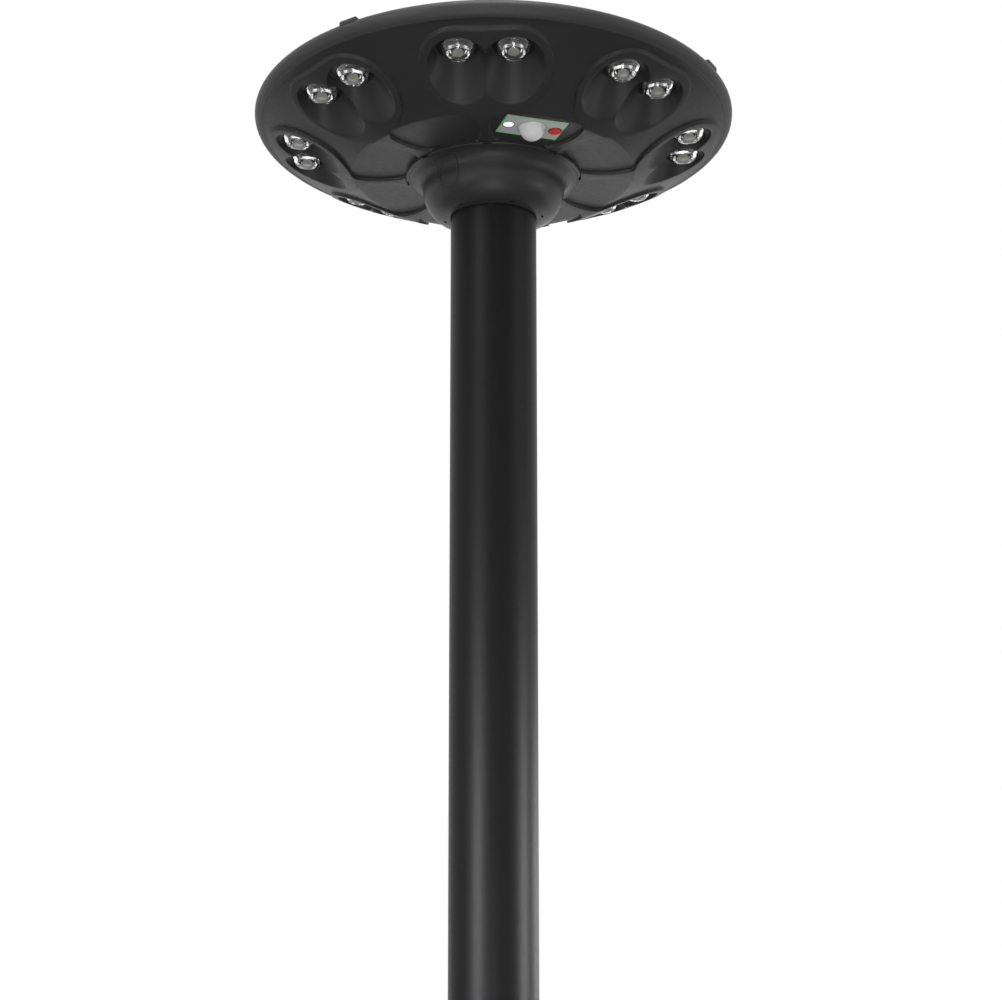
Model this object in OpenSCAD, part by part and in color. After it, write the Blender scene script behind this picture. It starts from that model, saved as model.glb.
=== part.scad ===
// Post-top solar street light: a round lamp head with eight lens petals and a
// solar panel on top, carried by a steel pole on a bolted base plate.
// Millimetres, +Z up, origin at the centre of the base plate's underside.
// Petal 1 of the head faces -Y. Heights inside the head are measured from its
// lamp plane, which lies light_height above the ground.

/* [Pole and base] */
// Height of the lamp plane above the ground
light_height = 2500; // [2000:50:4000]
// Outer diameter of the pole
pole_d = 76; // [60:1:76]
// Wall thickness of the pole
pole_wall = 3; // [2:0.5:5]
// Side of the square base plate
base_w = 220; // [200:10:300]
// Thickness of the base plate
base_t = 12; // [8:1:20]
// Corner radius of the base plate
base_corner_r = 15; // [5:1:25]
// Distance between the anchor holes
anchor_spacing = 160; // [140:5:170]
// Diameter of the anchor holes
anchor_d = 18; // [14:1:22]
// Height of the gussets
gusset_h = 90; // [50:5:150]
// Length of the gussets along the base plate
gusset_l = 60; // [30:5:66]
// Thickness of the gussets
gusset_t = 8; // [5:1:12]

/* [Head] */
// Radius of the rim
rim_r = 210; // [205:1:230]
// Height of the rim's widest line over the lamp plane
rim_z = 15.5; // [14:0.5:18]
// Width of the rolled rim outside the lower housing
rim_w = 6.5; // [5:0.5:10]
// Height of the lower housing's edge over the lamp plane
joint_z = 9.4; // [8:0.2:11]
// Radius of the flat centre of the underside
flat_r = 124.8; // [120:0.2:130]
// Depth of the flat centre below the lamp plane
flat_drop = 25.6; // [22:0.1:28]
// Thickness of the top cover over the lower housing
cover_t = 10; // [6:0.5:14]
// Width of a rim clip
clip_w = 14; // [10:0.5:20]
// Height of the rim clips over the rim
clip_h = 1.5; // [0.5:0.1:3]

/* [Petals] */
// Number of petals
petals = 8; // [8:1:8]
// Height of the petals over the webs between them, at their outer edge
petal_h = 3.2; // [1:0.1:4]
// Height of the petals' stems over the webs, at the hub
stem_h = 2.2; // [1:0.1:3]
// Distance from a petal's outer edge to the rim
petal_inset = 13.2; // [10:0.2:16]
// Radius of a petal's outer corners
petal_corner_r = 31.5; // [20:0.5:34]
// Half the width of a petal at its widest
petal_half_w = 51.7; // [48:0.1:54]
// Radius of a petal's inner flanks
petal_flank_r = 40; // [30:0.5:42]
// Half the width of a petal's stem at its narrowest
stem_half_w = 3.8; // [3:0.1:8]
// Radial position of the narrowest place of the stem
stem_waist = 99; // [90:1:105]
// Radius of the rounded webs beside the stem
stem_r = 50; // [40:1:70]
// Radius of the fillet between stem and petal
stem_fillet_r = 12; // [4:1:14]
// Turn of the stems from the petals' middle lines
stem_turn = -2; // [-4:0.5:4]

/* [Lenses] */
// Distance from the lenses' middle line to the rim
lens_inset = 38.8; // [37:0.2:42]
// Distance between the two lenses of a petal
lens_spacing = 42.2; // [40:0.2:44]
// Diameter of a lens at its rim
lens_d = 25.6; // [22:0.2:26]
// Diameter of a lens at its lower face
lens_face_d = 21; // [16:0.2:22]
// Height of a lens
lens_h = 8.4; // [6:0.2:9]
// Height of a lens's rim over the lamp plane
lens_rim_z = 3.5; // [2:0.5:4]
// Outer diameter of a lens's bezel
bezel_d = 32.6; // [28:0.2:34]
// Thickness of a bezel
bezel_t = 2.2; // [1.5:0.1:3]
// Diameter of a reflector scoop at its top
scoop_d = 36.6; // [34:0.2:40]
// Half-angle of the reflector scoops
scoop_angle = 30; // [24:1:33]
// Lean of the scoops towards the pole
scoop_lean = 3; // [0:1:8]

/* [Hub] */
// Radius of the ring round the hub
hub_ring_r = 77.4; // [76:0.2:80]
// Width of that ring
hub_ring_w = 2.5; // [2:0.1:4]
// Height of the ring and of the bowl's flange
hub_flange_h = 3.6; // [3:0.1:5]
// Length of the notches in the ring
notch_l = 8; // [4:0.5:12]
// Depth of the notches in the ring
notch_d = 1.7; // [1:0.1:1.8]
// Radius of the bowl
bowl_r = 62.5; // [58:0.5:64]
// Depth of the bowl's widest line below the lamp plane
bowl_mid_drop = 40; // [36:1:44]
// Height of the bowl's rounded bottom
bowl_bottom_h = 25; // [20:1:32]
// Width of an access cover
access_w = 22.8; // [14:0.2:24]
// Depth of an access cover's lower edge below the lamp plane
access_drop = 54; // [48:1:56]
// Diameter of the round recess in an access cover
access_disc_d = 18; // [10:0.5:19]
// Length of the slots in the bowl's bottom
slot_l = 4.8; // [3:0.1:6]
// Width of those slots
slot_w = 1.6; // [1:0.1:2]

/* [Sensor] */
// Length of the sensor plate
plate_l = 52.2; // [48:0.2:54]
// Width of the sensor plate
plate_w = 31.3; // [28:0.1:33]
// Thickness of the sensor plate
plate_t = 1.8; // [1.2:0.1:2]
// Radial position of the sensor plate
plate_r = 103.5; // [101:0.5:105]
// Turn of the sensor plate from petal 1
plate_turn = 19.5; // [18:0.5:21]
// Radius of the sensor dome
dome_r = 10.4; // [8:0.2:12]
// Distance of button and window from the dome
control_pitch = 20; // [18:0.5:21]
// Diameter of the power button
button_d = 10.4; // [8:0.2:11]
// Height of the power button over the plate
button_h = 0.9; // [0.8:0.1:2]
// Travel of the power button
button_travel = 0.8; // [0.4:0.1:0.8]
// Diameter of the indicator window
window_d = 9; // [8:0.1:11]

/* [Solar panel] */
// Width of the frame between the panel glass and the rim
frame_w = 22; // [18:1:30]
// Thickness of the panel glass
glass_t = 3; // [2:0.5:4]
// Side of a solar cell
cell_w = 52; // [40:1:60]
// Gap between solar cells
cell_gap = 2; // [1:0.5:4]
// Thickness of the solar cells
cell_t = 1; // [0.5:0.1:1.5]

/* [Hidden] */

$fn = 96;
gap = 0.3;                 // between pieces that are fitted together
deep = 60;                 // longer than any cut into the head
edge_wall = 2.8;           // lower housing's wall above its edge
seat_over_rim = 0.5;       // bezel seat over the lenses' rims
plate_sink = 1.4;          // depth of the sensor plate's back in the web

joint_r = rim_r - rim_w;
petal_end = rim_r - petal_inset;
lens_ring_r = rim_r - lens_inset;
glass_r = rim_r - frame_w;
pole_top_z = light_height - flat_drop;
flat_z = -flat_drop;
web_slope = (joint_z - flat_z) / (joint_r - flat_r);
cover_floor_z = joint_z + edge_wall;
cover_top_z = cover_floor_z + cover_t;
seat_z = lens_rim_z + seat_over_rim;
plate_back_z = flat_z + plate_sink;
plate_face_z = plate_back_z - plate_t;
bowl_bottom_z = -bowl_mid_drop - bowl_bottom_h;

// Height of the webs, and of the petals over them, at radius r
function web_z(r) = r < flat_r ? flat_z : flat_z + (r - flat_r) * web_slope;

// Points of an arc from angle a to angle b
function arc(c, r, a, b, n) =
    [for (i = [0:n]) let (t = a + (b - a) * i / n) c + r * [cos(t), sin(t)]];

turn_end_x = 135;          // where the stem's turn has faded out
turn_fade_l = 15;

// Turns a point of the stem about the head's centre, fading out in the petal
function turned(p) =
    let (k = (turn_end_x - p[0]) / turn_fade_l, t = stem_turn * min(1, max(0, k)))
    [p[0] * cos(t) - p[1] * sin(t), p[0] * sin(t) + p[1] * cos(t)];

module place_petal(i) {
    rotate([0, 0, -90 + (i - 1) * 360 / petals]) children();
}

module in_head() {
    translate([0, 0, light_height]) children();
}

// ---- Pole and base ----

module rounded_square(w, r) {
    c = w / 2 - r;
    polygon([for (q = [0:3]) each arc(
        [c * sign(cos(45 + 90 * q)), c * sign(sin(45 + 90 * q))], r, 90 * q, 90 * q + 90, 6)]);
}

module base_plate() {
    a = anchor_spacing / 2;
    color("#1b1c1e") difference() {
        linear_extrude(base_t) rounded_square(base_w, base_corner_r);
        for (x = [-a, a], y = [-a, a])
            translate([x, y, -1]) cylinder(d = anchor_d, h = base_t + 2);
    }
}

// Four gussets stand on the plate between the anchor holes
module base_gussets() {
    toe = 12;
    color("#1b1c1e") for (i = [0:3])
        rotate([0, 0, 90 * i]) translate([pole_d / 2, gusset_t / 2, base_t])
            rotate([90, 0, 0]) linear_extrude(gusset_t)
                polygon([[0, 0], [gusset_l, 0], [gusset_l, toe], [toe, gusset_h], [0, gusset_h]]);
}

module pole() {
    color("#151617") translate([0, 0, base_t]) difference() {
        cylinder(d = pole_d, h = pole_top_z - base_t);
        translate([0, 0, -1])
            cylinder(d = pole_d - 2 * pole_wall, h = pole_top_z - base_t + 2);
    }
}

// ---- Hub ----

hub_bore_r = pole_d / 2 + gap;
bowl_flange_r = hub_ring_r - hub_ring_w - gap;
bowl_lip_w = 1.7;
bowl_lip_r = hub_bore_r + bowl_lip_w;
flange_w = 2.6;
flare_r = bowl_flange_r - flange_w;
flange_z = flat_z - hub_flange_h;
access_turns = [-37, 83, 203];
access_skin = 2;
access_recess = 0.4;
access_depth = 15;         // of the covers' prisms inside the bowl's widest part
access_top_gap = 0.8;      // between a cover's top and the bowl's flange
slot_inset = 4.4;          // from the bore to the slots
slot_depth = 4;

// Half-section of the bowl, set in by e from its outer face
function bowl_section(e, inner_r) = concat(
    [[inner_r, flat_z], [bowl_flange_r - e, flat_z], [bowl_flange_r - e, flange_z + e]],
    [for (i = [0:8]) let (t = 90 - i * 90 / 8)
        [flare_r - (flare_r - bowl_r + e) * cos(t),
         -bowl_mid_drop + (flange_z + bowl_mid_drop + e) * sin(t)]],
    [for (i = [1:12]) let (t = i * 90 / 12)
        [bowl_lip_r + (bowl_r - bowl_lip_r - e) * cos(t),
         -bowl_mid_drop - (bowl_bottom_h - e) * sin(t)]],
    [[inner_r, bowl_bottom_z + e]]);

// Points outwards at the level of the round lower end of an access cover
module place_access(i) {
    rotate([0, 0, access_turns[i - 1] - 90])
        translate([bowl_r - access_depth, 0, -access_drop + access_w / 2])
            rotate([90, 0, 90]) children();
}

// Prism with the rounded outline of an access cover, set in by e
module access_prism(i, e) {
    r = access_w / 2 - e;
    top = flange_z - access_top_gap + access_drop - access_w / 2 - e;
    place_access(i) linear_extrude(deep) {
        circle(r);
        translate([-r, 0]) square([2 * r, top]);
    }
}

module bowl_solid(e) {
    rotate_extrude() polygon(bowl_section(e, hub_bore_r));
}

module hub_bowl() {
    color("#2b2b2c") in_head() difference() {
        bowl_solid(0);
        for (i = [1:3]) difference() {
            access_prism(i, 0);
            bowl_solid(access_skin);
        }
        for (k = [0:5]) rotate([0, 0, access_turns[0] - 90 + 60 * k])
            translate([hub_bore_r + slot_inset, -slot_l / 2, bowl_bottom_z - 1])
                cube([slot_w, slot_l, slot_depth + 1]);
    }
}

module access_cover(i) {
    color("#2b2b2c") in_head() difference() {
        intersection() {
            access_prism(i, gap);
            bowl_solid(0);
        }
        rotate_extrude() polygon(bowl_section(access_skin, 1));
        difference() {
            place_access(i) cylinder(h = deep, d = access_disc_d);
            rotate_extrude() polygon(bowl_section(access_recess, 1));
        }
    }
}

// Ring with a notch in front of every petal's stem
module hub_ring() {
    inner = hub_ring_r - hub_ring_w;
    bevel = 0.8;
    color("#2b2b2c") in_head() difference() {
        rotate_extrude() polygon([
            [inner, flat_z], [hub_ring_r, flat_z], [hub_ring_r, flange_z + bevel],
            [hub_ring_r - bevel, flange_z], [inner, flange_z]]);
        for (i = [1:petals]) place_petal(i) rotate([0, 0, stem_turn])
            translate([hub_ring_r - notch_d, -notch_l / 2, flange_z - 1])
                cube([notch_d + 1, notch_l, hub_flange_h + 2]);
    }
}

// ---- Lower housing ----

petal_x = petal_end - petal_corner_r;
petal_inner_r = hub_ring_r + gap;
flank_c = [petal_x, petal_half_w - petal_flank_r];
stem_c = [stem_waist, stem_half_w + stem_r];
stem_end_angle = -124;     // where the stem's side runs in under the hub ring

// Centre of the fillet that joins the round web to the petal's flank
function fillet_centre() =
    let (ra = stem_r - stem_fillet_r, rb = petal_flank_r + stem_fillet_r,
         d = norm(flank_c - stem_c), u = (flank_c - stem_c) / d,
         a = (ra * ra - rb * rb + d * d) / (2 * d), h = sqrt(ra * ra - a * a))
    stem_c + a * u + h * [u[1], -u[0]];

function bearing(v) = atan2(v[1], v[0]);

// One side of a petal's outline, from its outer edge to the hub
function petal_side() =
    let (g = fillet_centre(), on_flank = bearing(g - flank_c), on_stem = bearing(g - stem_c))
    concat(
        arc([petal_x, petal_half_w - petal_corner_r], petal_corner_r, 0, 90, 9),
        [for (p = arc(flank_c, petal_flank_r, 90, on_flank, 10)) if (p[0] < petal_x - 1) p],
        arc(g, stem_fillet_r, on_flank - 180, on_stem, 6),
        [for (p = arc(stem_c, stem_r, on_stem, stem_end_angle, 7)) if (p[0] < g[0] + 3) p]);

module petal_outline() {
    side = petal_side();
    n = len(side);
    polygon(concat(
        [for (p = side) turned(p)],
        [for (i = [1:n]) turned([side[n - i][0], -side[n - i][1]])]));
}

// Body of the housing, up to the level of the webs
module housing_body() {
    rotate_extrude() polygon([
        [0, flat_z], [flat_r, flat_z], [joint_r, joint_z], [joint_r, cover_floor_z],
        [0, cover_floor_z]]);
}

// Layer under the webs from which the petals are cut
module petal_layer() {
    sink = 1;
    edge = 2;
    r_out = joint_r - edge;
    rotate_extrude() polygon([
        [petal_inner_r, flat_z - stem_h], [flat_r, flat_z - (stem_h + petal_h) / 2],
        [r_out, web_z(r_out) - petal_h], [r_out, web_z(r_out) + sink],
        [flat_r, flat_z + sink], [petal_inner_r, flat_z + sink]]);
}

// Conical reflector scoop with the seats of bezel and lens above it
module lens_cut() {
    scoop_h = 50;
    bezel_r = bezel_d / 2;
    translate([0, 0, seat_z]) rotate([0, scoop_lean, 0]) translate([0, 0, -scoop_h])
        cylinder(h = scoop_h, r1 = scoop_d / 2 + scoop_h * tan(scoop_angle), r2 = scoop_d / 2);
    translate([0, 0, seat_z - bezel_r * tan(scoop_lean) - 1])
        cylinder(h = bezel_t + 1 + bezel_r * tan(scoop_lean), r = bezel_r + gap);
}

module place_lens(side) {
    translate([lens_ring_r, side * lens_spacing / 2, 0]) children();
}

module place_sensor() {
    rotate([0, 0, plate_turn - 90]) translate([plate_r, 0, 0]) children();
}

button_flange_w = 1.1;
button_flange_h = 0.8;
pocket_clearance = 0.4;
switch_h = 1.4;            // room for the switch behind the pressed button
button_pocket_d = button_d + 2 * (button_flange_w + pocket_clearance);
button_pocket_h = button_flange_h + button_travel + switch_h;
control_gap = 0.6;         // round the indicator window

module sensor_cut() {
    place_sensor() {
        translate([-plate_w / 2 - gap, -plate_l / 2 - gap, plate_back_z - deep])
            cube([plate_w + 2 * gap, plate_l + 2 * gap, deep]);
        translate([0, control_pitch, plate_back_z - 1])
            cylinder(h = button_pocket_h + 1, d = button_pocket_d);
    }
}

module lower_housing() {
    color("#2c2d2e") in_head() difference() {
        union() {
            housing_body();
            intersection() {
                petal_layer();
                for (i = [1:petals]) place_petal(i)
                    translate([0, 0, -deep]) linear_extrude(2 * deep) petal_outline();
            }
        }
        for (i = [1:petals], side = [-1, 1]) place_petal(i) place_lens(side) lens_cut();
        sensor_cut();
    }
}

// ---- Top cover and solar panel ----

glass_proud = 0.5;
cell_clearance = 0.1;
panel_floor_z = cover_top_z - glass_t + glass_proud;
cell_floor_z = panel_floor_z - cell_t - cell_clearance;
panel_ledge_w = 4;
clip_turns = [-30, 60, 150, 240];
clip_l = 8;                // radial length of a clip
clip_bevel = 1.5;
clip_inset = 0.8;          // from the rim's edge
clip_sink = 3;             // depth of its seat in the rim

function clip_section(e) =
    let (out = rim_r - clip_inset, top = rim_z + rim_w + clip_h, foot = rim_z + rim_w - clip_sink)
    [[out - clip_l - e, foot - e], [out, foot - e], [out, top - clip_bevel],
     [out - clip_bevel, top], [out - clip_l - e, top]];

module clip_prism(i, e) {
    rotate([0, 0, clip_turns[i - 1] - 90]) translate([0, clip_w / 2 + e, 0])
        rotate([90, 0, 0]) linear_extrude(clip_w + 2 * e) polygon(clip_section(e));
}

module top_cover() {
    skirt_r = joint_r + gap;
    frame_lip_w = 5;
    color("#262728") in_head() difference() {
        rotate_extrude() polygon(concat(
            [[0, cover_floor_z], [skirt_r, cover_floor_z]],
            arc([rim_r - rim_w, rim_z], rim_w, -87, 78, 12),
            [[glass_r + frame_lip_w, cover_top_z], [glass_r + gap, cover_top_z],
             [glass_r + gap, panel_floor_z], [glass_r - panel_ledge_w, panel_floor_z],
             [glass_r - panel_ledge_w, cell_floor_z], [0, cell_floor_z]]));
        for (i = [1:4]) clip_prism(i, gap);
    }
}

module rim_clip(i) {
    color("#202122") in_head() clip_prism(i, 0);
}

// Square cells in rows, cut off by the round panel
module solar_cells() {
    pitch = cell_w + cell_gap;
    panel_r = glass_r - panel_ledge_w - 1;
    least_w = 12;          // narrowest piece of a cell
    n = ceil(panel_r / pitch);
    color("#10182c") in_head() translate([0, 0, cell_floor_z]) intersection() {
        cylinder(r = panel_r, h = cell_t);
        for (i = [-n:n], j = [-n:n])
            if (norm([max(0, abs(i) * pitch - cell_w / 2), max(0, abs(j) * pitch - cell_w / 2)])
                < panel_r - least_w)
                translate([i * pitch - cell_w / 2, j * pitch - cell_w / 2, -1])
                    cube([cell_w, cell_w, cell_t + 2]);
    }
}

module panel_glass() {
    bevel = 0.6;
    color("#24304a", 0.5) in_head() translate([0, 0, panel_floor_z]) rotate_extrude()
        polygon([[0, 0], [glass_r, 0], [glass_r, glass_t - bevel], [glass_r - bevel, glass_t],
                 [0, glass_t]]);
}

// ---- Lenses ----

lens_r = lens_d / 2;
lens_face_r = lens_face_d / 2;

module lens_bezels(i) {
    outer = bezel_d / 2;
    inner = lens_r + gap;
    step = 2;
    step_h = 0.8;
    color("#1d1d1e") in_head() place_petal(i) for (side = [-1, 1]) place_lens(side)
        translate([0, 0, seat_z]) rotate_extrude() polygon([
            [inner, step_h], [outer - step, step_h], [outer - step, 0], [outer, 0],
            [outer, bezel_t], [inner, bezel_t]]);
}

// Clear lenses: a rim behind the bezel's plane and a body that narrows downwards
module lens_pair(i) {
    rim_h = 2;
    body_h = lens_h - 1;
    round_r = 3;
    color("#e8ecef", 0.6) in_head() place_petal(i) for (side = [-1, 1]) place_lens(side)
        translate([0, 0, lens_rim_z]) rotate_extrude() polygon(concat(
            [[0, -body_h]],
            arc([lens_face_r - round_r, round_r - body_h], round_r, -90, 0, 5),
            [[lens_r, 0], [lens_r, rim_h], [0, rim_h]]));
}

// ---- Sensor ----

module sensor_plate() {
    color("#8f9496") in_head() place_sensor() difference() {
        translate([-plate_w / 2, -plate_l / 2, plate_face_z]) cube([plate_w, plate_l, plate_t]);
        translate([0, control_pitch, plate_face_z - 1])
            cylinder(h = plate_t + 2, d = button_d + 2 * gap);
        translate([0, -control_pitch, plate_face_z - 1])
            cylinder(h = plate_t + 2, d = window_d + 2 * control_gap);
    }
}

module sensor_dome() {
    collar = 0.4;
    color("#f2f4f5") in_head() place_sensor() translate([0, 0, plate_face_z]) {
        translate([0, 0, -collar]) cylinder(h = collar, r = dome_r + 1);
        intersection() {
            translate([0, 0, -collar]) sphere(r = dome_r - collar);
            translate([-deep / 2, -deep / 2, -deep - collar / 2]) cube(deep);
        }
    }
}

// Window on a shoulder that lies against the web behind the plate
module indicator_window() {
    shoulder_h = 0.6;
    color("#f7f8f8") in_head() place_sensor() translate([0, -control_pitch, 0]) {
        translate([0, 0, plate_face_z]) cylinder(h = plate_t, d = window_d);
        translate([0, 0, plate_back_z - shoulder_h])
            cylinder(h = shoulder_h, d = window_d + 2 * control_gap);
    }
}

// Button cap with the flange that keeps it behind the plate
module power_button() {
    color("#c3161c") in_head() place_sensor() translate([0, control_pitch, 0]) {
        translate([0, 0, plate_face_z - button_h])
            cylinder(h = button_h + plate_t + button_flange_h, d = button_d);
        translate([0, 0, plate_back_z])
            cylinder(h = button_flange_h, d = button_d + 2 * button_flange_w);
    }
}

base_plate();
base_gussets();
pole();
hub_bowl();
hub_ring();
for (i = [1:3]) access_cover(i);
lower_housing();
top_cover();
solar_cells();
panel_glass();
for (i = [1:4]) rim_clip(i);
for (i = [1:8]) lens_bezels(i);
for (i = [1:8]) lens_pair(i);
sensor_plate();
sensor_dome();
indicator_window();
power_button();
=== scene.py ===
"""Looks of the post-top solar street light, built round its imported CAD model. Metres, +Z up."""

import math

import bmesh
import bpy
import numpy as np
from mathutils import Matrix, Vector
from mathutils.geometry import delaunay_2d_cdt


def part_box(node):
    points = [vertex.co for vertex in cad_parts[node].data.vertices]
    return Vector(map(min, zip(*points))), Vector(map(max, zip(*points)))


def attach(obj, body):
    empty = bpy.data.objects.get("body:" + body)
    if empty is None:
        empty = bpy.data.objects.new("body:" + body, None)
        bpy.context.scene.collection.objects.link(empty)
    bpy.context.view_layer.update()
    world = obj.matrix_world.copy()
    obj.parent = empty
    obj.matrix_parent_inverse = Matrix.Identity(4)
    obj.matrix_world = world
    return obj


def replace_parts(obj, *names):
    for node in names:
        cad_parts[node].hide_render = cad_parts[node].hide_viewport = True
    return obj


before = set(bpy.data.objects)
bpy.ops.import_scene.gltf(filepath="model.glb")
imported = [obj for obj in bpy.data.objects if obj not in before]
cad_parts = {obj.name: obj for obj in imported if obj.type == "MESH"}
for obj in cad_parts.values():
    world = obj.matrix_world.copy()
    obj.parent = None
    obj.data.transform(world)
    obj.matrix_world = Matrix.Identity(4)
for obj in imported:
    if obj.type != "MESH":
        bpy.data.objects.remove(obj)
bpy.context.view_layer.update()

MM = 0.001
FLAT_DROP = 0.0256                               # flat underside below the lamp plane
LAMP_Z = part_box("pole")[1].z + FLAT_DROP         # height of the lamp plane
PETALS = 8
BASE_T = 12                                      # thickness of the base plate


# ---- Mesh helpers, in millimetres ----

def add_piece(name, bm, *materials, lift=LAMP_Z, body="light", sharp=38):
    """Makes an object of a mesh in millimetres, lifted to its height in metres."""
    for v in bm.verts:
        v.co = v.co * MM + Vector((0, 0, lift))
    bmesh.ops.recalc_face_normals(bm, faces=bm.faces)
    mesh = bpy.data.meshes.new(name)
    bm.to_mesh(mesh)
    bm.free()
    mesh.shade_smooth()
    mesh.set_sharp_from_angle(angle=math.radians(sharp))
    for material in materials:
        mesh.materials.append(material)
    piece = bpy.data.objects.new(name, mesh)
    bpy.context.scene.collection.objects.link(piece)
    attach(piece, body)
    return piece


def lathe(bm, profile, place=Matrix.Identity(4), segments=64, slot=0):
    """Turns a profile of (radius, height) points; it ends on the axis or closes on itself."""
    closed = profile[0][0] > 0 or profile[-1][0] > 0
    rings = []
    for r, z in profile:
        if r == 0:
            rings.append([bm.verts.new(place @ Vector((0, 0, z)))] * segments)
            continue
        rings.append([bm.verts.new(place @ Vector((r * math.cos(a), r * math.sin(a), z)))
                      for a in [2 * math.pi * i / segments for i in range(segments)]])
    for low, high in zip(rings, rings[1:] + (rings[:1] if closed else [])):
        for i in range(segments):
            j = (i + 1) % segments
            corners = dict.fromkeys((low[i], low[j], high[j], high[i]))
            if len(corners) > 2:
                bm.faces.new(corners).material_index = slot


def disc(bm, r, z0, z1, place, segments, slot=0):
    lathe(bm, ((0, z0), (r, z0), (r, z1), (0, z1)), place, segments, slot)


def prism(bm, outline, z0, z1):
    low, high = [[bm.verts.new((x, y, z)) for x, y in outline] for z in (z0, z1)]
    bm.faces.new(low[::-1])
    bm.faces.new(high)
    for i in range(len(outline)):
        j = (i + 1) % len(outline)
        bm.faces.new((low[i], low[j], high[j], high[i]))


def rounded_rect(w, h, r, n=6):
    corners = ((1, 1), (-1, 1), (-1, -1), (1, -1))
    return [(sx * (w / 2 - r) + r * math.cos(math.radians(90 * q + 90 * i / n)),
             sy * (h / 2 - r) + r * math.sin(math.radians(90 * q + 90 * i / n)))
            for q, (sx, sy) in enumerate(corners) for i in range(n + 1)]


def turn_z(degrees):
    return Matrix.Rotation(math.radians(degrees), 4, "Z")


def shift(x, y, z=0):
    return Matrix.Translation((x, y, z))


# ---- Camera, light and stage ----

CAMERA_DISTANCE = 1.0678                         # from the pole's axis
CAMERA_DROP = 0.4834                             # below the lamp plane
CAMERA_AZIMUTH = math.radians(1.94)
CAMERA_PITCH = math.radians(6.4)
CAMERA_LENS, CAMERA_SENSOR = 44.82, 36
CAMERA_SHIFT = (0.0075, 0.0539)
CAMERA_REACH = 50


def make_camera():
    data = bpy.data.cameras.new("camera")
    data.lens = CAMERA_LENS
    data.sensor_width = CAMERA_SENSOR
    data.shift_x, data.shift_y = CAMERA_SHIFT
    data.clip_end = CAMERA_REACH
    cam = bpy.data.objects.new("camera", data)
    cam.location = (CAMERA_DISTANCE * math.sin(CAMERA_AZIMUTH),
                    -CAMERA_DISTANCE * math.cos(CAMERA_AZIMUTH), LAMP_Z - CAMERA_DROP)
    cam.rotation_euler = (math.pi / 2 + CAMERA_PITCH, 0, CAMERA_AZIMUTH)
    bpy.context.scene.collection.objects.link(cam)
    bpy.context.scene.camera = cam


def around(azimuth, distance, z):
    """Point at an azimuth in degrees from -Y towards +X."""
    a = math.radians(azimuth)
    return Vector((distance * math.sin(a), -distance * math.cos(a), z))


def area_light(name, place, target_z, size, radiance, spread=180):
    """A rectangular lamp of a given radiance, turned towards the pole's axis."""
    data = bpy.data.lights.new(name, "AREA")
    data.shape = "RECTANGLE"
    data.size, data.size_y = size
    data.spread = math.radians(spread)
    data.energy = radiance * math.pi * size[0] * size[1]
    lamp = bpy.data.objects.new(name, data)
    lamp.location = place
    aim = Vector((0, 0, target_z)) - place
    lamp.rotation_euler = aim.to_track_quat("-Z", "Y").to_euler()
    bpy.context.scene.collection.objects.link(lamp)


SOFT_BOX = (0.9, 0.9)
# Name, azimuth, distance, height, height aimed at, size and radiance
HEAD_LAMPS = (
    ("left_high", -35, 2.2, 3.2, 2.3, (0.6, 0.9), 7.8),
    ("right_high", 70, 2.2, 3.1, 2.3, SOFT_BOX, 2.0),
    ("front_low", 0, 1.8, 0.95, 2.45, (0.5, 0.5), 10.5),
    ("front_near", 0, 1.0, 0.75, 2.45, (0.5, 0.5), 8.3),
    ("back_mid", 180, 2.3, 2.35, 2.3, SOFT_BOX, 1.9),
    ("back_left", -155, 2.3, 1.5, 2.4, SOFT_BOX, 0.3),
    ("back_right", 155, 2.3, 1.5, 2.4, SOFT_BOX, 0.6),
    ("top_soft", 0, 0.8, 4.6, 2.5, (1.2, 0.8), 11))
# Name, azimuth, size and radiance
POLE_LAMPS = (
    ("left_low", -38, (0.8, 0.8), 1.4),
    ("right_low", 84, (0.7, 0.8), 1.2),
    ("edge_low", 132, (0.7, 0.8), 0.2))
POLE_LAMP_DISTANCE, POLE_LAMP_Z, POLE_LAMP_AIM_Z, POLE_LAMP_SPREAD = 2.2, 1.45, 1.78, 26
FILL_DISTANCE, FILL_Z, FILL_AIM_Z, FILL_SIZE = 2.3, 2.5, 2.58, (0.5, 0.35)
FILL_RADIANCE, FILL_SPREAD = 0.14, 14


def make_lights():
    """Soft boxes round the head, shaded ones for the pole and a narrow fill on the head."""
    for name, azimuth, distance, z, aim_z, size, radiance in HEAD_LAMPS:
        area_light(name, around(azimuth, distance, z), aim_z, size, radiance)
    for name, azimuth, size, radiance in POLE_LAMPS:
        place = around(azimuth, POLE_LAMP_DISTANCE, POLE_LAMP_Z)
        area_light(name, place, POLE_LAMP_AIM_Z, size, radiance, POLE_LAMP_SPREAD)
    place = around(0, FILL_DISTANCE, FILL_Z)
    area_light("front_mid", place, FILL_AIM_Z, FILL_SIZE, FILL_RADIANCE, FILL_SPREAD)


AMBIENT = 0.04                                   # world strength for diffuse light


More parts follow.
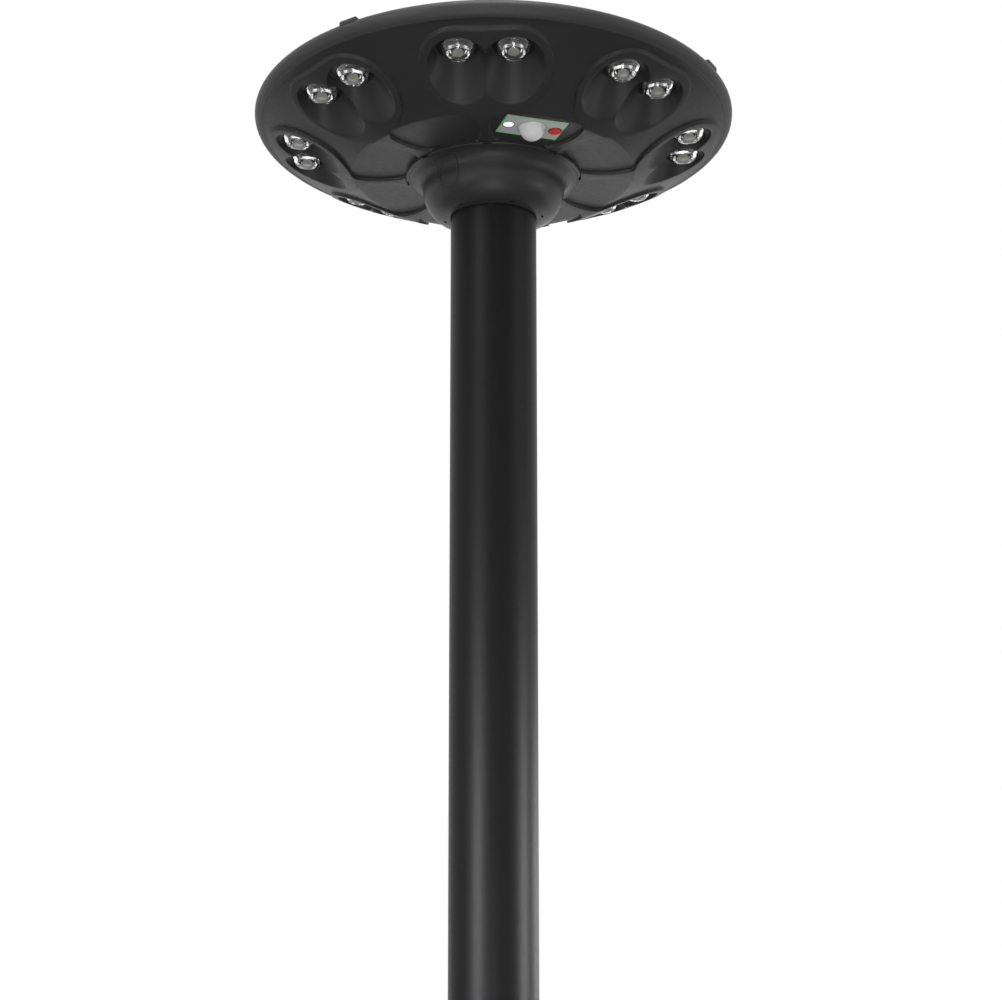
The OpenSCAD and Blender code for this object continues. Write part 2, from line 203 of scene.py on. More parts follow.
def make_world():
    """Dim ambient light. The camera, gloss and glass see a white backdrop."""
    world = bpy.data.worlds.new("studio")
    bpy.context.scene.world = world
    world.use_nodes = True
    tree = world.node_tree
    tree.nodes.clear()
    path = tree.nodes.new("ShaderNodeLightPath").outputs
    seen = path["Is Camera Ray"]
    for ray in ("Is Glossy Ray", "Is Transmission Ray"):
        either = tree.nodes.new("ShaderNodeMath")
        either.operation = "MAXIMUM"
        tree.links.new(seen, either.inputs[0])
        tree.links.new(path[ray], either.inputs[1])
        seen = either.outputs[0]
    level = tree.nodes.new("ShaderNodeMapRange")
    level.inputs["To Min"].default_value = AMBIENT
    level.inputs["To Max"].default_value = 1.0
    tree.links.new(seen, level.inputs["Value"])
    back = tree.nodes.new("ShaderNodeBackground")
    back.inputs["Color"].default_value = (1, 1, 1, 1)
    tree.links.new(level.outputs["Result"], back.inputs["Strength"])
    out = tree.nodes.new("ShaderNodeOutputWorld")
    tree.links.new(back.outputs[0], out.inputs["Surface"])


# ---- Materials ----

NOISE_LOW, NOISE_HIGH = 0.3, 0.7                 # nearly all values of a noise lie between


class Shader:
    """A Principled material under construction, with short names for its nodes."""

    def __init__(self, name, **values):
        self.mat = bpy.data.materials.new(name)
        self.mat.use_nodes = True
        self.tree = self.mat.node_tree
        self.bsdf = self.tree.nodes["Principled BSDF"]
        coords = self.tree.nodes.new("ShaderNodeTexCoord")
        self.place = coords.outputs["Object"]
        for socket, value in values.items():
            self.bsdf.inputs[socket.replace("_", " ")].default_value = value

    def node(self, kind, inputs=(), **settings):
        n = self.tree.nodes.new("ShaderNode" + kind)
        for key, value in settings.items():
            setattr(n, key, value)
        for key, value in dict(inputs).items():
            if isinstance(value, bpy.types.NodeSocket):
                self.tree.links.new(value, n.inputs[key])
            else:
                n.inputs[key].default_value = value
        return n

    def noise(self, size, detail=3.0):
        """Noise whose features are about size metres wide, from 0 to 1."""
        return self.node("TexNoise", {"Vector": self.place, "Scale": 1 / size,
                                      "Detail": detail}).outputs["Fac"]

    def spread(self, value, low, high):
        """A noise stretched to run from low to high."""
        return self.remap(value, NOISE_LOW, NOISE_HIGH, low, high)

    def remap(self, value, from_low, from_high, low=0.0, high=1.0):
        return self.node("MapRange", {"Value": value, "From Min": from_low, "From Max": from_high,
                                      "To Min": low, "To Max": high}).outputs["Result"]

    def mix(self, fac, a, b):
        """Mix of two colours. The node's colour sockets share their names, so go by number."""
        n = self.node("Mix", data_type="RGBA")
        for socket, value in ((n.inputs[0], fac), (n.inputs[6], a), (n.inputs[7], b)):
            if isinstance(value, bpy.types.NodeSocket):
                self.tree.links.new(value, socket)
            else:
                socket.default_value = value
        return n.outputs[2]

    def bump(self, height, strength, distance):
        n = self.node("Bump", {"Height": height, "Strength": strength, "Distance": distance})
        self.tree.links.new(n.outputs["Normal"], self.bsdf.inputs["Normal"])

    def set(self, socket, value):
        self.tree.links.new(value, self.bsdf.inputs[socket])


def rgba(tone):
    """Value of a colour socket for a grey or a colour."""
    return (*tone, 1) if isinstance(tone, tuple) else (tone, tone, tone, 1)


def moulded_plastic(name, tone, rough):
    """Black moulded plastic with a fine eroded grain and a slightly uneven gloss."""
    s = Shader(name, Specular_IOR_Level=0.2)
    cloud = s.spread(s.noise(0.08, 2), 0, 1)
    s.set("Base Color", s.mix(cloud, rgba(tone * 0.92), rgba(tone * 1.1)))
    s.set("Roughness", s.spread(s.noise(0.004, 4), rough - 0.04, rough + 0.05))
    s.bump(s.noise(0.0006, 2), 0.06, 0.0002)
    return s.mat


def powder_coat(name, tone, rough):
    """Black powder paint with orange peel and fine lighter grains."""
    s = Shader(name, Specular_IOR_Level=0.13)
    grains = s.remap(s.noise(0.0011, 1), 0.55, 0.75)
    s.set("Base Color", s.mix(grains, rgba(tone), rgba(tone * 2.2)))
    peel = s.noise(0.0015, 3)
    s.set("Roughness", s.spread(peel, rough - 0.05, rough + 0.05))
    s.bump(peel, 0.2, 0.0003)
    return s.mat


def clear_plastic(name, rough=0.02, waves=0.003):
    s = Shader(name, Transmission_Weight=1.0, IOR=1.49)
    s.set("Base Color", s.mix(s.noise(0.01), rgba((0.97, 0.98, 0.98)), rgba(1.0)))
    s.set("Roughness", s.spread(s.noise(waves), rough, rough + 0.03))
    return s.mat


def tinted(name, low, high, size=0.01, **values):
    """Plain material whose colour wanders between two tones."""
    s = Shader(name, **values)
    s.set("Base Color", s.mix(s.noise(size), rgba(low), rgba(high)))
    return s.mat


FINGER_PITCH, FINGER_W = 0.001, 0.00016          # half the distance between fingers, width


def silicon_cells(name):
    """Dark blue silicon with fine silver fingers across the busbars."""
    s = Shader(name, Roughness=0.35, Specular_IOR_Level=0.15)
    blue = s.mix(s.noise(0.02), rgba((0.004, 0.008, 0.034)), rgba((0.007, 0.014, 0.055)))
    along = s.node("SeparateXYZ", {0: s.place}).outputs["X"]
    phase = s.node("Math", {0: along, 1: FINGER_PITCH}, operation="PINGPONG").outputs[0]
    line = s.node("Math", {0: phase, 1: FINGER_W / 2}, operation="LESS_THAN").outputs[0]
    s.set("Base Color", s.mix(line, blue, rgba((0.12, 0.12, 0.13))))
    return s.mat


# ---- Lower housing ----
# One petal's sector is meshed in the plane, in millimetres, and copied round the head. Heights
# are above the lamp plane.

HUB_R = 72.0                                     # inner edge of the sector's mesh
RING_R = 77.4                                    # outer radius of the hub ring
RING_FADE = (0.1, 0.4)                           # gap from the ring to a petal, its step's width
FLAT_R, FLAT_Z = 124.8, -25.6
EDGE_R, EDGE_Z, TOP_Z = 203.7, 9.4, 12.2
JOINT_R = 203.5
SLOPE = (EDGE_Z - FLAT_Z) / (JOINT_R - FLAT_R)
LIP_START = 200.7                                # the cone levels out towards the rim from here
PETAL_RADII, PETAL_HEIGHTS = (77.7, FLAT_R, 201.5), (2.2, 2.7, 3.2)
PETAL_END, CORNER_R, PETAL_HALF, FLANK_R = 196.8, 31.5, 51.7, 40.0
STEM_HALF, STEM_WAIST, STEM_R, FILLET_R = 3.8, 99.0, 50.0, 12.0
STEM_TURN, STEM_TURN_R, STEM_TURN_FADE = -2.0, 135, 15   # degrees, fading in below a radius
STEM_END = -124                                  # bearing on the stem's arc where it ends
LENS_RING_R, LENS_SPACING = 171.2, 42.2
SEAT_Z, BEZEL_SEAT_R, BEZEL_TOP_Z = 4.0, 16.6, 6.2
SCOOP_R, SCOOP_ANGLE, SCOOP_LEAN, SCOOP_REACH = 18.3, 30.0, 3.0, 60
WALL_OFFSETS = (-0.8, -0.45, -0.2, 0.0, 0.15, 0.3, 0.5)   # from the outline inwards
WALL_SHARES = (0.0, 0.07, 0.3, 0.6, 0.84, 0.96, 1.0)   # of the petal's height
CREASE_ROUND, LIP_ROUND, RIDGE_ROUND = 0.3, 0.9, 0.6    # heights over which edges are rounded
PLATE_R, PLATE_TURN = 103.5, 19.5
PLATE_HALF = (15.95, 26.4)                       # half the pocket's width and length
POCKET_Z = -21.0
POCKET_SEARCH_R, POCKET_SEARCH_Z = 45, 4         # reach of the cut for the pocket
POCKET_RIM_R = 40                                # reach of its rim, with a bit of the edge at HUB_R
HALF_SECTOR = math.pi / PETALS

# Places and spacings of the mesh's points
EDGE_ROWS = (HUB_R, 77.5, 77.9, 84, 91, 98, 105, 112, 118, 122.4, 124.1, FLAT_R, 125.5, 127.2,
             133, 140, 148, 156, 164, 172, 180, 188, 195, LIP_START, 201.5, 202.3, 203, EDGE_R)
RING_ROWS = (HUB_R, 77.5, 77.9, 124.1, FLAT_R, 125.5, LIP_START, 201.7, 202.7, EDGE_R)
RING_STEP, WEB_STEP, WEB_CLEAR = 2.6, 6.0, 1.6
WEB_ROWS = np.arange(82, 199, WEB_STEP)
RIDGE_X = np.arange(130, 192, 1.5)
RIDGE_Y = (-0.45, -0.2, 0, 0.2, 0.45)
SCOOP_LEVELS = (LIP_ROUND, LIP_ROUND / 2, 0, -LIP_ROUND / 2, -LIP_ROUND)
SCOOP_SHARES = (0.25, 0.5, 0.75)                 # rings of points down a scoop's wall
LINE_CLEAR, POINT_CLEAR, RIDGE_OVER = 0.6, 0.8, 0.3   # distances from the ridge and above petals
SCOOP_RAYS, RAY_OFFSET = 96, 1e-4                # rays round a scoop, turned off the axes
BISECTIONS = 30
CORNER_STEPS, FLANK_STEPS, FILLET_STEPS, STEM_STEPS, END_STEPS = 18, 24, 10, 16, 12
WELD_GAP, TRIANGULATION_GAP = 0.01, 1e-4


def arc(cx, cy, r, a, b, n):
    angles = np.radians(np.linspace(a, b, n + 1))
    return np.stack([cx + r * np.cos(angles), cy + r * np.sin(angles)], 1)


def bearing(v):
    return math.degrees(math.atan2(v[1], v[0]))


def fillet_centre(flank, stem):
    """Centre of the fillet that touches a petal's flank and its stem."""
    ra, rb = STEM_R - FILLET_R, FLANK_R + FILLET_R
    gap = np.linalg.norm(flank - stem)
    u = (flank - stem) / gap
    along = (ra * ra - rb * rb + gap * gap) / (2 * gap)
    return stem + along * u + math.sqrt(ra * ra - along * along) * np.array([u[1], -u[0]])


def turn_stem(points):
    """Turns points more and more towards the hub."""
    x, y = points[:, 0], points[:, 1]
    turn = np.radians(STEM_TURN) * np.clip((STEM_TURN_R - x) / STEM_TURN_FADE, 0, 1)
    return np.stack([x * np.cos(turn) - y * np.sin(turn), x * np.sin(turn) + y * np.cos(turn)], 1)


def petal_outline():
    """Outline of a petal and its stem as points, from the hub round the outer edge and back."""
    px = PETAL_END - CORNER_R
    flank = np.array([px, PETAL_HALF - FLANK_R])
    stem = np.array([STEM_WAIST, STEM_HALF + STEM_R])
    g = fillet_centre(flank, stem)
    on_flank, on_stem = bearing(g - flank), bearing(g - stem)
    corner = arc(px, PETAL_HALF - CORNER_R, CORNER_R, 0, 90, CORNER_STEPS)
    side = arc(*flank, FLANK_R, 90, on_flank, FLANK_STEPS)
    fillet = arc(*g, FILLET_R, on_flank - 180, on_stem, FILLET_STEPS)
    root = arc(*stem, STEM_R, on_stem, STEM_END, STEM_STEPS)
    half = np.concatenate([corner, side[side[:, 0] < px - 1], fillet[1:-1], root])
    across = np.linspace(-1, 1, END_STEPS + 2)[1:-1] * half[0, 1]
    end = np.stack([np.full(END_STEPS, PETAL_END), across], 1)
    return turn_stem(np.concatenate([half[::-1], end[::-1], half * (1, -1)]))


def offset_line(points, inwards):
    step = np.gradient(points, axis=0)
    normal = np.stack([step[:, 1], -step[:, 0]], 1)
    normal /= np.linalg.norm(normal, axis=1, keepdims=True)
    return points - normal * inwards


def depth_inside(points, outline):
    """Distance of points from an outline, positive inside it."""
    a, b = outline[:-1], outline[1:]
    d = b - a
    best = np.full(len(points), 1e9)
    inside = np.zeros(len(points), bool)
    for p, q, e in zip(a, b, d):
        t = np.clip(((points - p) @ e) / (e @ e), 0, 1)
        best = np.minimum(best, np.linalg.norm(points - p - t[:, None] * e, axis=1))
        crosses = (p[1] > points[:, 1]) != (q[1] > points[:, 1])
        x = p[0] + (points[:, 1] - p[1]) * e[0] / (e[1] if abs(e[1]) > 1e-9 else 1e-9)
        inside ^= crosses & (points[:, 0] < x)
    return np.where(inside, best, -best)


def smooth_max(a, b, k):
    h = np.maximum(k - np.abs(a - b), 0)
    return np.maximum(a, b) + h * h / (4 * k)


def web_height(r):
    z = smooth_max(FLAT_Z, FLAT_Z + (r - FLAT_R) * SLOPE, CREASE_ROUND)
    past = np.maximum(r - LIP_START, 0)
    return z - SLOPE * past * past / (2 * (EDGE_R - LIP_START))


def petal_height(points, outline):
    """Height of webs and petals, before the scoops are cut."""
    r = np.linalg.norm(points, axis=1)
    share = np.interp(depth_inside(points, outline), WALL_OFFSETS, WALL_SHARES)
    share = share * np.clip((r - RING_R - RING_FADE[0]) / RING_FADE[1], 0, 1)
    return web_height(r) - share * np.interp(r, PETAL_RADII, PETAL_HEIGHTS)


def scoop_height(points, side):
    """Height of the leaning cone of one scoop, level inside its upper edge."""
    tan_b = math.tan(math.radians(SCOOP_ANGLE))
    cos_l, sin_l = math.cos(math.radians(SCOOP_LEAN)), math.sin(math.radians(SCOOP_LEAN))
    dx = points[:, 0] - LENS_RING_R
    dy = points[:, 1] - side * LENS_SPACING / 2
    grow = 1 + tan_b * tan_b
    a = grow * cos_l * cos_l - 1
    b = -2 * cos_l * (-grow * sin_l * dx + SCOOP_R * tan_b)
    c = (grow * (sin_l * dx) ** 2 - 2 * SCOOP_R * tan_b * sin_l * dx
         + SCOOP_R ** 2 - dx * dx - dy * dy)
    drop = (-b - np.sqrt(np.maximum(b * b - 4 * a * c, 0))) / (2 * a)
    return SEAT_Z + np.minimum(drop, 0)


def housing_height(points, outline):
    scoops = smooth_max(scoop_height(points, 1), scoop_height(points, -1), RIDGE_ROUND)
    return smooth_max(petal_height(points, outline), scoops, LIP_ROUND)


def ray_angles():
    return np.radians(np.arange(SCOOP_RAYS) * 360 / SCOOP_RAYS) + RAY_OFFSET


def scoop_lines(side, outline):
    """Lines along which the height of scoop over petal is constant, from inside to outside."""
    angles = ray_angles()
    ray = np.stack([np.cos(angles), np.sin(angles)], 1)
    centre = np.array([LENS_RING_R, side * LENS_SPACING / 2])
    to_ridge = np.where(ray[:, 1] * side < -1e-3,
                        LENS_SPACING / 2 / np.abs(ray[:, 1] + 1e-9), SCOOP_REACH)
    lines = []
    for level in SCOOP_LEVELS:
        low, high = np.full(len(ray), SCOOP_R), np.minimum(to_ridge, SCOOP_REACH)
        for _ in range(BISECTIONS):
            mid = (low + high) / 2
            p = centre + ray * mid[:, None]
            above = scoop_height(p, side) - petal_height(p, outline) > level
            low, high = np.where(above, mid, low), np.where(above, high, mid)
        lines.append(low)
    return centre, ray, lines, to_ridge


class Plane:
    """Points and edges for a constrained triangulation."""

    def __init__(self):
        self.points, self.edges = [], []

    def line(self, points, closed=False):
        start = len(self.points)
        self.points += [tuple(p) for p in points]
        n = len(points)
        self.edges += [(start + i, start + (i + 1) % n) for i in range(n if closed else n - 1)]


def sector_arc(r, step):
    """Points about step apart on an arc across the sector."""
    angles = np.linspace(-HALF_SECTOR, HALF_SECTOR, int(2 * HALF_SECTOR * r / step))
    return np.stack([r * np.cos(angles), r * np.sin(angles)], 1)


def trace_web(plane):
    """The sector's two straight edges and the rings between them."""
    for sign in (-1, 1):
        plane.line([(r * math.cos(HALF_SECTOR), sign * r * math.sin(HALF_SECTOR))
                    for r in EDGE_ROWS])
    for r in RING_ROWS:
        plane.line(sector_arc(r, RING_STEP))


def trace_petal(plane, outline):
    for inwards in WALL_OFFSETS:
        line = offset_line(outline, inwards)
        plane.line(line[np.linalg.norm(line, axis=1) > RING_R])


def trace_scoop(plane, side, outline):
    """A scoop's seat, upper edge and lip. Returns rings of loose points on its wall."""
    centre, ray, levels, to_ridge = scoop_lines(side, outline)
    for r in (BEZEL_SEAT_R, SCOOP_R):
        plane.line(centre + ray * r, closed=True)
    for level in levels:
        for run in runs(level < to_ridge - LINE_CLEAR):
            plane.line((centre + ray * level[:, None])[run])
    rings = []
    for share in SCOOP_SHARES:
        radius = SCOOP_R + (levels[0] - SCOOP_R) * share
        rings.append((centre + ray * radius[:, None])[radius < to_ridge - POINT_CLEAR])
    return rings


def ridge_points(outline):
    """Rows of points along the ridge between the two scoops."""
    rows = [np.stack([RIDGE_X, np.full(len(RIDGE_X), y)], 1) for y in RIDGE_Y]
    return [p[scoop_height(p, 1) > petal_height(p, outline) + RIDGE_OVER] for p in rows]


def web_points(lines, outline):
    """Loose points outside the scoops and clear of the lines."""
    loose = np.concatenate([sector_arc(r, WEB_STEP)[1:-1] for r in WEB_ROWS])
    gap = np.array([np.min(np.linalg.norm(lines - p, axis=1)) for p in loose])
    scoops = np.maximum(scoop_height(loose, 1), scoop_height(loose, -1))
    return loose[(gap > WEB_CLEAR) & (scoops < petal_height(loose, outline) - LIP_ROUND)]


def in_sector(corners):
    """Whether a triangle is kept: not in a lens hole, beyond the sector or a sliver on its edge."""
    in_hole = any(np.all(np.linalg.norm(corners - (LENS_RING_R, side * LENS_SPACING / 2), axis=1)
                         < BEZEL_SEAT_R + WELD_GAP) for side in (-1, 1))
    bearings = np.arctan2(corners[:, 1], corners[:, 0])
    sliver = np.all(np.abs(bearings) > HALF_SECTOR - 1e-5)
    return not in_hole and not sliver and HUB_R < np.linalg.norm(corners.mean(0)) < EDGE_R


def sector_mesh():
    """Vertices and triangles of one petal's sector, petal along +X."""
    outline = petal_outline()
    plane = Plane()
    trace_web(plane)
    trace_petal(plane, outline)
    loose = [ring for side in (-1, 1) for ring in trace_scoop(plane, side, outline)]
    lines = np.array(plane.points)
    points = np.concatenate([lines, *loose, *ridge_points(outline), web_points(lines, outline)])
    mesh = delaunay_2d_cdt([Vector(p) for p in points], plane.edges, [], 0, TRIANGULATION_GAP)
    flat = np.array(mesh[0])
    faces = [list(face) for face in mesh[2] if in_sector(flat[list(face)])]
    return np.column_stack([flat, housing_height(flat, outline)]), faces


def runs(mask):
    """Index lists of the stretches of a ring where mask holds."""
    n = len(mask)
    if mask.all():
        return [list(range(n)) + [0]]
    start = int(np.argmin(mask))
    order = [(start + i) % n for i in range(n)]
    out, run = [], []
    for i in order:
        if mask[i]:
            run.append(i)
        elif run:
            out.append(run)
            run = []
    return out + ([run] if run else [])


def petal_turn(petal):
    """Turn of a petal round the head: 1 at the front, the rest counter-clockwise from above."""
    return Matrix.Rotation(-math.pi / 2 + (petal - 1) * 2 * math.pi / PETALS, 4, "Z")


def close_lens_seats(bm):
    """Walls and roofs over the bezels."""
    angles = ray_angles()
    x = LENS_RING_R + BEZEL_SEAT_R * np.cos(angles)
    for petal in range(1, PETALS + 1):
        for side in (-1, 1):
            y = side * LENS_SPACING / 2 + BEZEL_SEAT_R * np.sin(angles)
            low, high = [[bm.verts.new(petal_turn(petal) @ Vector((*p, z))) for p in zip(x, y)]
                         for z in (SEAT_Z, BEZEL_TOP_Z)]
            for i in range(SCOOP_RAYS):
                j = (i + 1) % SCOOP_RAYS
                bm.faces.new((low[i], low[j], high[j], high[i]))
            bm.faces.new(high[::-1])


def raise_and_close(bm, edges, z):
    """Extrudes boundary edges up to a height and closes the hole there."""
    grown = bmesh.ops.extrude_edge_only(bm, edges=edges)["geom"]
    for v in grown:
        if isinstance(v, bmesh.types.BMVert):
            v.co.z = z
    top = [e for e in grown if isinstance(e, bmesh.types.BMEdge)
           and all(abs(v.co.z - z) < 1e-4 for v in e.verts)]
    bmesh.ops.holes_fill(bm, edges=top, sides=0)


def cut_sensor_pocket(bm):
    """Cuts the pocket behind the sensor plate."""
    turn = turn_z(PLATE_TURN - 90)
    centre = turn @ Vector((PLATE_R, 0, 0))
    axes = [turn @ Vector((1, 0, 0)), turn @ Vector((0, 1, 0))]

    def offset(face):
        return (face.calc_center_median() - centre).xy

    def low(face):
        return face.calc_center_median().z < FLAT_Z + POCKET_SEARCH_Z

    def within(face):
        return low(face) and all(abs(offset(face).dot(axis.xy)) < half
                                 for axis, half in zip(axes, PLATE_HALF))

    for axis, half in zip(axes, PLATE_HALF):
        for sign in (-1, 1):
            faces = [f for f in bm.faces if offset(f).length < POCKET_SEARCH_R and low(f)]
            parts = faces + list(dict.fromkeys(e for f in faces for e in f.edges)) \
                + list(dict.fromkeys(v for f in faces for v in f.verts))
            bmesh.ops.bisect_plane(bm, geom=parts, plane_co=centre + axis * half * sign,
                                   plane_no=axis)
    bmesh.ops.delete(bm, geom=[f for f in bm.faces if within(f)], context="FACES")
    rim = [e for e in bm.edges if e.is_boundary
           and ((e.verts[0].co + e.verts[1].co).xy / 2 - centre.xy).length < POCKET_RIM_R]
    raise_and_close(bm, rim, POCKET_Z)


def close_housing(bm):
    """The outer edge up under the cover, the lid, and the flat middle."""
    outer = [e for e in bm.edges if e.is_boundary and e.verts[0].co.xy.length > EDGE_R - 0.3]
    inner = [e for e in bm.edges if e.is_boundary and e.verts[0].co.xy.length < HUB_R + 1]
    raise_and_close(bm, outer, TOP_Z)
    bmesh.ops.holes_fill(bm, edges=inner, sides=0)


def make_housing(material):
    co, faces = sector_mesh()
    bm = bmesh.new()
    for petal in range(1, PETALS + 1):
        verts = [bm.verts.new(petal_turn(petal) @ Vector(p)) for p in co]
        for face in faces:
            bm.faces.new([verts[k] for k in face])
    close_lens_seats(bm)
    bmesh.ops.remove_doubles(bm, verts=bm.verts, dist=WELD_GAP)
    bmesh.ops.delete(bm, geom=[v for v in bm.verts if not v.link_faces], context="VERTS")
    cut_sensor_pocket(bm)
    close_housing(bm)
    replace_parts(add_piece("moulded_housing", bm, material), "lower_housing")


# ---- Lenses and LEDs ----

LENS_PROFILE = ((0, -3.9), (4, -3.86), (6.4, -3.75), (7.9, -3.5), (9.1, -3.05), (10.1, -2.4),
                (10.9, -1.5), (11.4, -0.5), (11.8, 0.7), (12.2, 2.1), (12.6, 3.3), (12.8, 3.6),
                (12.8, 5.2), (12.5, 5.5), (11.4, 5.5), (11.0, 5.2), (8.6, 0.1), (8.1, -0.3),
                (7.6, 0.1), (6.3, 5.2), (6.0, 5.5), (0, 5.5))
BOARD_Z = 5.6
BOARD_R, BOARD_T = 12.4, 0.5
HOLDER_R, LED_R, PHOSPHOR_R = 4.4, 4.1, 1.5
LED_Z, LED_T = 1.9, 0.06
LENS_SEGMENTS, BOARD_SEGMENTS, LED_SEGMENTS = 72, 48, 40


def make_led(bm, place):
    """Board and holder, with the chip and its round phosphor in slots 1 and 2."""
    disc(bm, BOARD_R, BOARD_Z, BOARD_Z + BOARD_T, place, BOARD_SEGMENTS)
    disc(bm, HOLDER_R, LED_Z + LED_T, BOARD_Z, place, LED_SEGMENTS)
    for r, z, slot in ((LED_R, LED_Z, 1), (PHOSPHOR_R, LED_Z - LED_T, 2)):
        disc(bm, r, z, z + LED_T, place, LED_SEGMENTS, slot)


def make_lenses(clear, board, chip, phosphor):
    for petal in range(1, PETALS + 1):
        bm, leds = bmesh.new(), bmesh.new()
        for side in (-1, 1):
            place = petal_turn(petal) @ shift(LENS_RING_R, side * LENS_SPACING / 2)
            lathe(bm, LENS_PROFILE, place, LENS_SEGMENTS)
            make_led(leds, place)
        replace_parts(add_piece(f"lenses_{petal}", bm, clear), f"lens_pair_{petal}")
        add_piece(f"leds_{petal}", leds, board, chip, phosphor)


# ---- Sensor ----

PLATE_W, PLATE_L, PLATE_CORNER, PLATE_FACE_Z = 31.3, 52.2, 1.6, -26.0
PRINT_T = 0.05
BORDER_INSET, BORDER_W = 0.02, 0.85
CONTROL_PITCH = 20.0                             # of the window, dome and button
BUTTON_RING, WINDOW_RING, DOME_RING = (6.0, 5.5), (5.3, 4.6), (12.2, 11.9)   # printed, radii


def circle(r, n=48):
    return [tuple(p) for p in arc(0, 0, r, 0, 360, n)[:-1]]


def print_loop(bm, outer, inner, place, slot):
    """Thin printed layer between an outer loop and an inner one with as many points."""
    (a, b), (c, d) = [[[bm.verts.new(place @ Vector((x, y, z))) for x, y in line]
                       for line in (outer, inner)] for z in (PLATE_FACE_Z, PLATE_FACE_Z - PRINT_T)]
    for i in range(len(outer)):
        j = (i + 1) % len(outer)
        for quad in ((a[i], a[j], b[j], b[i]), (c[i], c[j], d[j], d[i]),
                     (a[i], a[j], c[j], c[i]), (b[i], b[j], d[j], d[i])):
            bm.faces.new(quad).material_index = slot


def make_plate_print(green, black):
    bm = bmesh.new()
    place = turn_z(PLATE_TURN - 90) @ shift(PLATE_R, 0)
    border = [rounded_rect(PLATE_W - 2 * e, PLATE_L - 2 * e, PLATE_CORNER - e)
              for e in (BORDER_INSET, BORDER_INSET + BORDER_W)]
    print_loop(bm, *border, place, 0)
    for y, radii in ((CONTROL_PITCH, BUTTON_RING), (-CONTROL_PITCH, WINDOW_RING), (0, DOME_RING)):
        print_loop(bm, *[circle(r) for r in radii], place @ shift(0, y), 1)
    add_piece("plate_print", bm, green, black)


DOME_R, DOME_FOOT = 10.4, 0.35
DOME_FLANGE_R, DOME_FLANGE, DOME_SUNK = DOME_R + 0.5, 0.1, 0.3
DOME_FILLET_R = DOME_R + 0.15
DOME_ANGLES = np.radians(np.linspace(4, 86, 20))


def make_dome(frosted):
    """Round dome with a small fillet at its foot."""
    bm = bmesh.new()
    place = turn_z(PLATE_TURN - 90) @ shift(PLATE_R, 0, PLATE_FACE_Z)
    foot = [(0, DOME_SUNK), (DOME_FLANGE_R, DOME_SUNK), (DOME_FLANGE_R, -DOME_FLANGE),
            (DOME_FILLET_R, -DOME_FOOT)]
    ball = [(DOME_R * math.cos(a), -DOME_FOOT - DOME_R * math.sin(a)) for a in DOME_ANGLES]
    lathe(bm, foot + ball + [(0, -DOME_FOOT - DOME_R)], place, LENS_SEGMENTS)
    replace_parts(add_piece("dome", bm, frosted), "sensor_dome")


# ---- Solar panel ----

CELL_PITCH, CELL_W, PANEL_R = 54.0, 52.0, 183.0
CELL_ROWS = range(-3, 4)
CELL_TOP_Z = 19.6
BUSBARS = (-13.0, 13.0)                          # across a cell
BUSBAR_W, BUSBAR_T, BUSBAR_INSET = 1.4, 0.06, 2


def make_busbars(silver):
    bm = bmesh.new()
    for y in [row * CELL_PITCH + off for row in CELL_ROWS for off in BUSBARS]:
        reach = math.sqrt(max(PANEL_R ** 2 - y * y, 0)) - BUSBAR_INSET
        if reach > CELL_W / 2:
            prism(bm, [(-reach, y - BUSBAR_W / 2), (reach, y - BUSBAR_W / 2),
                       (reach, y + BUSBAR_W / 2), (-reach, y + BUSBAR_W / 2)],
                  CELL_TOP_Z, CELL_TOP_Z + BUSBAR_T)
    add_piece("busbars", bm, silver)


# ---- Bolts and welds at the base ----

ANCHOR = 80.0                                    # anchor bolts from the middle
STUD_R, THREAD_PITCH, THREAD_D = 8.0, 2.0, 0.9
STUD_FOOT, STUD_TOP, STUD_TIP = 2.0, 44.0, 1.0
WASHER_R, WASHER_T, WASHER_BEVEL = 15.0, 2.5, 0.4
NUT_H, NUT_AF, NUT_BEVEL = 13.0, 24.0, 1.1
NUT_BORE, NUT_END = 0.55, 0.93                   # shares of the hexagon at the bore and the ends
NUT_TURNS = (11, 7)                              # degrees by which the nuts are turned unlike
WASHER_SEGMENTS, STUD_SEGMENTS = 48, 32
POLE_R, GUSSET_L, GUSSET_T, GUSSET_H = 38.0, 60.0, 8.0, 90.0
BEAD_LEG, RISE_LEG, RIPPLE, RIPPLE_W = 6.0, 5.0, 0.05, 2.4
BEAD_ANGLES = (0, 22, 45, 68, 90)
UP = Vector((0, 0, 1))
RING_BEADS, FOOT_BEADS, RISE_BEADS = 150, 100, 140   # points along a weld
FOOT_INSET, RISE_INSET, RISE_SUNK = 1, 2, 0.4


def make_washer(bm, place):
    top = BASE_T + WASHER_T
    lathe(bm, ((STUD_R, BASE_T), (WASHER_R - WASHER_BEVEL, BASE_T),
               (WASHER_R, BASE_T + WASHER_BEVEL), (WASHER_R, top - WASHER_BEVEL),
               (WASHER_R - WASHER_BEVEL, top), (STUD_R, top)), place, WASHER_SEGMENTS)


def make_nut(bm, place):
    """Hexagon nut with its ends bevelled, round a bore that the stud fills."""
    z, r = BASE_T + WASHER_T, NUT_AF / math.sqrt(3)
    hexagon = [(r * math.cos(math.radians(60 * i)), r * math.sin(math.radians(60 * i)))
               for i in range(6)]
    rows = ((0.0, NUT_BORE), (0.0, NUT_END), (NUT_BEVEL, 1.0), (NUT_H - NUT_BEVEL, 1.0),
            (NUT_H, NUT_END), (NUT_H, NUT_BORE))
    rings = [[bm.verts.new(place @ Vector((x * k, y * k, z + h))) for x, y in hexagon]
             for h, k in rows]
    for low, high in zip(rings, rings[1:] + rings[:1]):
        for i in range(6):
            j = (i + 1) % 6
            bm.faces.new((low[i], low[j], high[j], high[i]))


